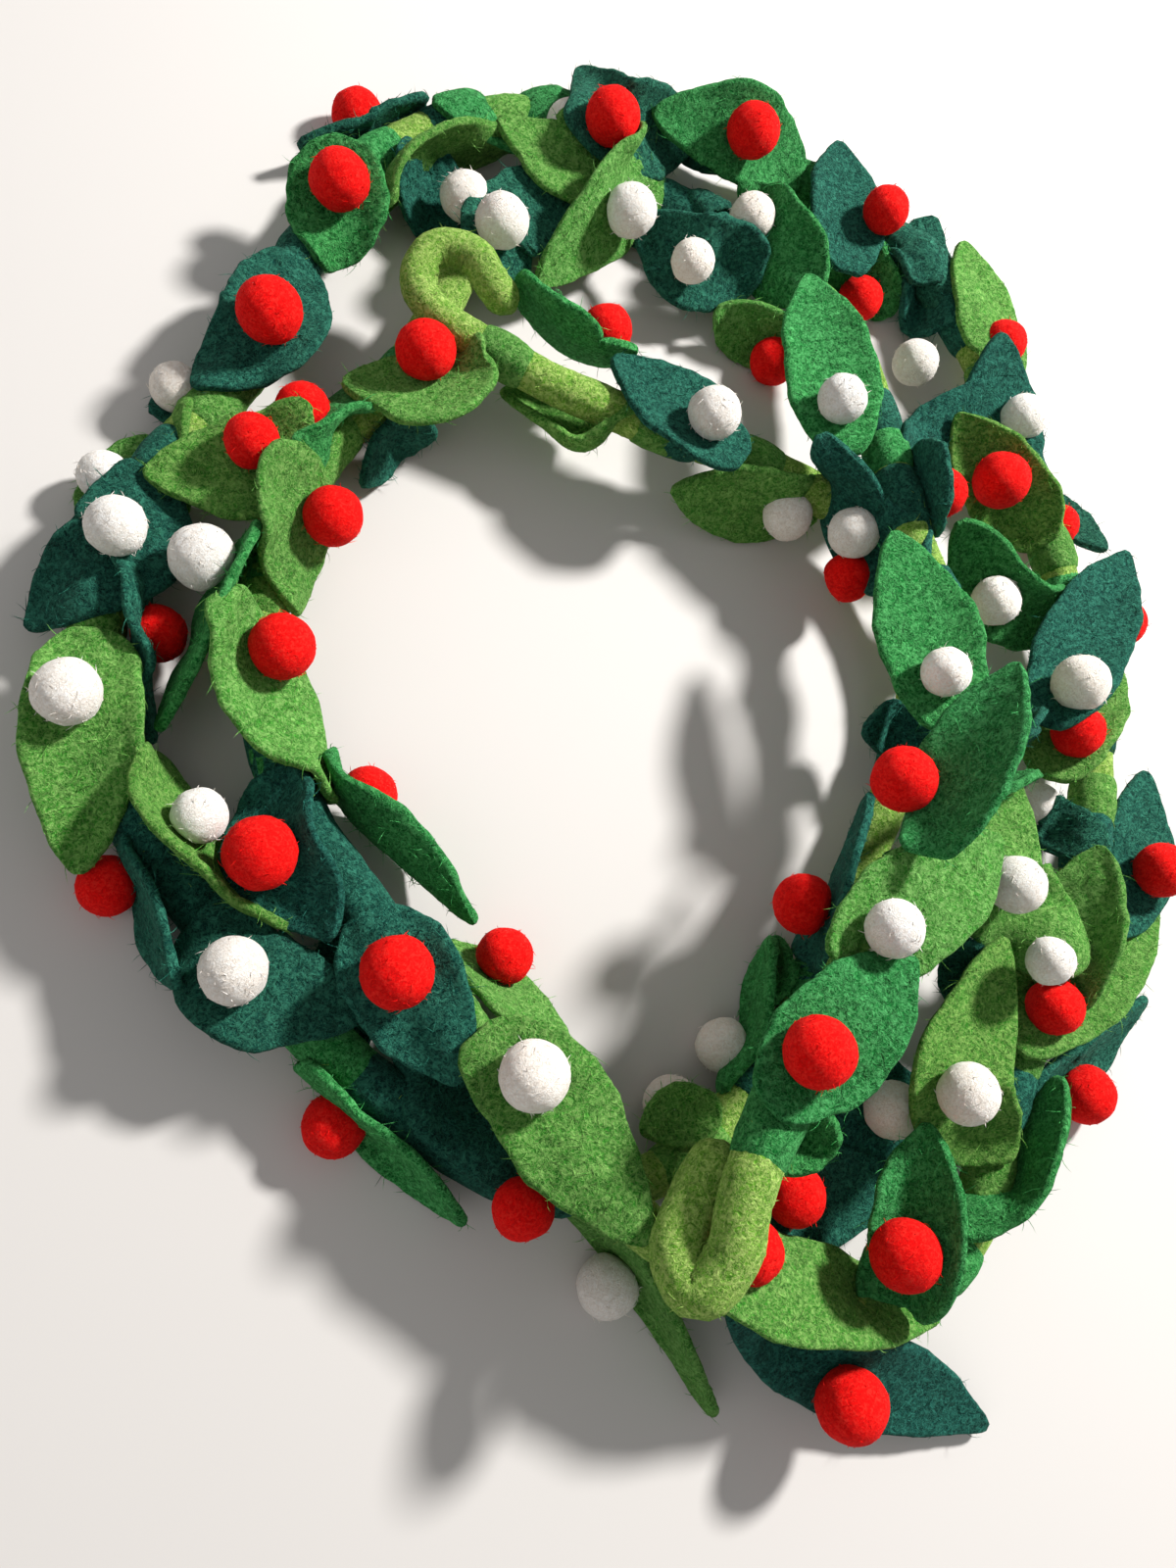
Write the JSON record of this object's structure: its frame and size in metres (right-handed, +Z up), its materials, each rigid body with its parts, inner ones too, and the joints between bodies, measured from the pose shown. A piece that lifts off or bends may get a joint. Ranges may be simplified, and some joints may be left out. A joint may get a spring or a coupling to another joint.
{
  "type": "wool leaf garland",
  "caption": "Wool felt garland: a felted rope with a loop at each end, felt leaves and round felt berries sewn along it, laid as a ring on a table.",
  "frame": {"origin": "the middle of the garland's footprint, on the surface that it lies on", "axes": "+Z up off the surface, +Y away from the viewer, from the crossing at the bottom of the ring to its top; +X to the right"},
  "size_m": [0.4283, 0.5121, 0.1049],
  "materials": {
    "rope_green": "hairy felted wool",
    "light_green": "wool felt sheet",
    "mid_green": "wool felt sheet",
    "dark_green": "wool felt sheet",
    "red_wool": "felted wool ball",
    "white_wool": "felted wool ball"
  },
  "bodies": {
    "root": {"rope": "rope_green", "leaf_01": "mid_green", "leaf_02": "light_green", "leaf_03": "mid_green", "leaf_04": "mid_green", "leaf_05": "dark_green", "leaf_06": "dark_green", "leaf_07": "mid_green", "leaf_08": "light_green", "leaf_09": "mid_green", "leaf_10": "dark_green", "leaf_11": "dark_green", "leaf_12": "light_green", "leaf_13": "mid_green", "leaf_14": "light_green", "leaf_15": "mid_green", "leaf_16": "light_green", "leaf_17": "dark_green", "leaf_18": "mid_green", "leaf_19": "dark_green", "leaf_20": "light_green", "leaf_21": "light_green", "leaf_22": "light_green", "leaf_23": "dark_green", "leaf_24": "dark_green", "leaf_25": "mid_green", "leaf_26": "mid_green", "leaf_27": "light_green", "leaf_28": "dark_green", "leaf_29": "light_green", "leaf_30": "light_green", "leaf_31": "dark_green", "leaf_32": "light_green", "leaf_33": "dark_green", "leaf_34": "mid_green", "leaf_35": "light_green", "leaf_36": "dark_green", "leaf_37": "light_green", "leaf_38": "mid_green", "leaf_39": "dark_green", "leaf_40": "mid_green", "leaf_41": "dark_green", "leaf_42": "light_green", "leaf_43": "mid_green", "leaf_44": "light_green", "leaf_45": "dark_green", "leaf_46": "mid_green", "leaf_47": "dark_green", "leaf_48": "light_green", "leaf_49": "dark_green", "leaf_50": "light_green", "leaf_51": "light_green", "leaf_52": "dark_green", "leaf_53": "mid_green", "leaf_54": "mid_green", "leaf_55": "dark_green", "leaf_56": "light_green", "leaf_57": "dark_green", "leaf_58": "light_green", "leaf_59": "mid_green"}
  },
  "joints": []
}
